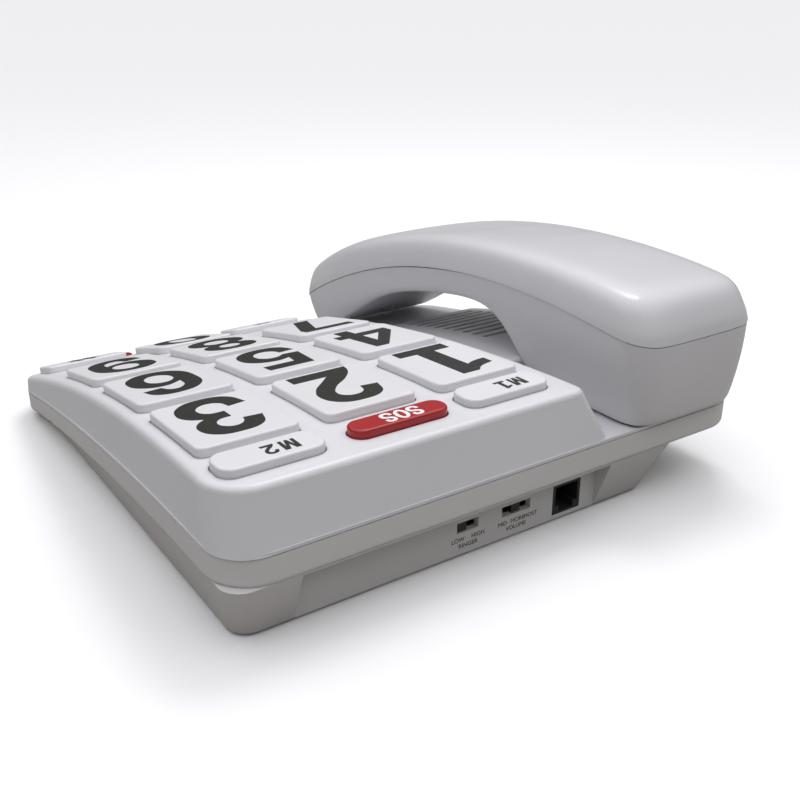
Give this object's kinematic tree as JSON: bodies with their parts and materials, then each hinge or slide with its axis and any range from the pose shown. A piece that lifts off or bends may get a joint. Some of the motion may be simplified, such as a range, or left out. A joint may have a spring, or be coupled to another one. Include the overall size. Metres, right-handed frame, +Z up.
{
  "type": "corded telephone",
  "caption": "Corded desk telephone with large keys on a sloping deck, memory and emergency keys, and a handset resting in a side cradle.",
  "frame": {"origin": "middle of the whole object's outline, on the surface it stands on", "axes": "+Z up, -Y towards the user, +X to the user's right"},
  "size_m": [0.2, 0.2206, 0.081],
  "materials": {
    "housing_upper": "semi-gloss moulded ABS, cool off-white",
    "housing_lower": "semi-gloss moulded ABS, off-white",
    "handset_plastic": "semi-gloss moulded ABS, cool off-white",
    "white_key": "satin white key caps",
    "red_key": "semi-gloss red key cap",
    "silicone": "grey silicone",
    "film": "printed film",
    "circuit_board": "green solder mask",
    "red_lens": "clear red lens",
    "contact_metal": "gold-flashed wire",
    "screw_steel": "zinc-plated steel",
    "weight_steel": "plain steel",
    "foot_rubber": "black rubber",
    "jack_plastic": "black nylon",
    "black_plastic": "black acetal",
    "plunger_plastic": "white acetal",
    "capsule_plastic": "black moulded case"
  },
  "bodies": {
    "base": {"base_cord_jack": "jack_plastic", "base_cord_jack_contacts": "contact_metal", "hook_switch": "black_plastic", "housing_screws": "screw_steel", "indicator_lens": "red_lens", "keypad_contact_film": "film", "keypad_mat": "silicone", "line_jack": "jack_plastic", "line_jack_contacts": "contact_metal", "lower_housing": "housing_lower", "main_circuit_board": "circuit_board", "ringer_sounder": "capsule_plastic", "ringer_switch_case": "black_plastic", "rubber_feet": "foot_rubber", "upper_housing": "housing_upper", "volume_switch_case": "black_plastic"},
    "handset": {"handset_jack": "jack_plastic", "handset_jack_contacts": "contact_metal", "handset_lower_shell": "handset_plastic", "handset_screws": "screw_steel", "handset_upper_shell": "handset_plastic", "handset_weight": "weight_steel", "microphone_capsule": "capsule_plastic", "receiver_capsule": "capsule_plastic"},
    "hook_plunger": {"hook_plunger": "plunger_plastic"},
    "ringer_switch_knob": {"ringer_switch_knob": "black_plastic"},
    "volume_switch_knob": {"volume_switch_knob": "black_plastic"},
    "key_0": {"key_0": "white_key"},
    "key_1": {"key_1": "white_key"},
    "key_2": {"key_2": "white_key"},
    "key_3": {"key_3": "white_key"},
    "key_4": {"key_4": "white_key"},
    "key_5": {"key_5": "white_key"},
    "key_6": {"key_6": "white_key"},
    "key_7": {"key_7": "white_key"},
    "key_8": {"key_8": "white_key"},
    "key_9": {"key_9": "white_key"},
    "key_emergency": {"key_emergency": "red_key"},
    "key_hash": {"key_hash": "white_key"},
    "key_memory_1": {"key_memory_1": "white_key"},
    "key_memory_2": {"key_memory_2": "white_key"},
    "key_star": {"key_star": "white_key"}
  },
  "joints": [
    {"name": "handset_lift", "type": "slide", "parent": "base", "child": "handset", "axis": [0, 0, 1], "range_m": [0, 0.12]},
    {"name": "hook_plunger_rise", "type": "slide", "parent": "base", "child": "hook_plunger", "axis": [0, 0, 1], "range_m": [0, 0.0035]},
    {"name": "key_0_press", "type": "slide", "parent": "base", "child": "key_0", "axis": [0, 0.2927, -0.9562], "range_m": [0, 0.002], "stiffness_N_per_m": 250},
    {"name": "key_1_press", "type": "slide", "parent": "base", "child": "key_1", "axis": [0, 0.0661, -0.9978], "range_m": [0, 0.002], "stiffness_N_per_m": 250},
    {"name": "key_2_press", "type": "slide", "parent": "base", "child": "key_2", "axis": [0, 0.0661, -0.9978], "range_m": [0, 0.002], "stiffness_N_per_m": 250},
    {"name": "key_3_press", "type": "slide", "parent": "base", "child": "key_3", "axis": [0, 0.0661, -0.9978], "range_m": [0, 0.002], "stiffness_N_per_m": 250},
    {"name": "key_4_press", "type": "slide", "parent": "base", "child": "key_4", "axis": [0, 0.1417, -0.9899], "range_m": [0, 0.002], "stiffness_N_per_m": 250},
    {"name": "key_5_press", "type": "slide", "parent": "base", "child": "key_5", "axis": [0, 0.1417, -0.9899], "range_m": [0, 0.002], "stiffness_N_per_m": 250},
    {"name": "key_6_press", "type": "slide", "parent": "base", "child": "key_6", "axis": [0, 0.1417, -0.9899], "range_m": [0, 0.002], "stiffness_N_per_m": 250},
    {"name": "key_7_press", "type": "slide", "parent": "base", "child": "key_7", "axis": [0, 0.2172, -0.9761], "range_m": [0, 0.002], "stiffness_N_per_m": 250},
    {"name": "key_8_press", "type": "slide", "parent": "base", "child": "key_8", "axis": [0, 0.2172, -0.9761], "range_m": [0, 0.002], "stiffness_N_per_m": 250},
    {"name": "key_9_press", "type": "slide", "parent": "base", "child": "key_9", "axis": [0, 0.2172, -0.9761], "range_m": [0, 0.002], "stiffness_N_per_m": 250},
    {"name": "key_emergency_press", "type": "slide", "parent": "base", "child": "key_emergency", "axis": [0, 0.0159, -0.9999], "range_m": [0, 0.002], "stiffness_N_per_m": 250},
    {"name": "key_hash_press", "type": "slide", "parent": "base", "child": "key_hash", "axis": [0, 0.3063, -0.9519], "range_m": [0, 0.002], "stiffness_N_per_m": 250},
    {"name": "key_memory_1_press", "type": "slide", "parent": "base", "child": "key_memory_1", "axis": [0, 0.0172, -0.9999], "range_m": [0, 0.002], "stiffness_N_per_m": 250},
    {"name": "key_memory_2_press", "type": "slide", "parent": "base", "child": "key_memory_2", "axis": [0, 0.0172, -0.9999], "range_m": [0, 0.002], "stiffness_N_per_m": 250},
    {"name": "key_star_press", "type": "slide", "parent": "base", "child": "key_star", "axis": [0, 0.3063, -0.9519], "range_m": [0, 0.002], "stiffness_N_per_m": 250},
    {"name": "ringer_switch_slide", "type": "slide", "parent": "base", "child": "ringer_switch_knob", "axis": [1, 0, 0], "range_m": [-0.004, 0]},
    {"name": "volume_switch_slide", "type": "slide", "parent": "base", "child": "volume_switch_knob", "axis": [1, 0, 0], "range_m": [-0.0034, 0.0034]}
  ],
  "couplings": [
    {"joint": "hook_plunger_rise", "follows": "handset_lift", "ratio": 0.029167}
  ]
}
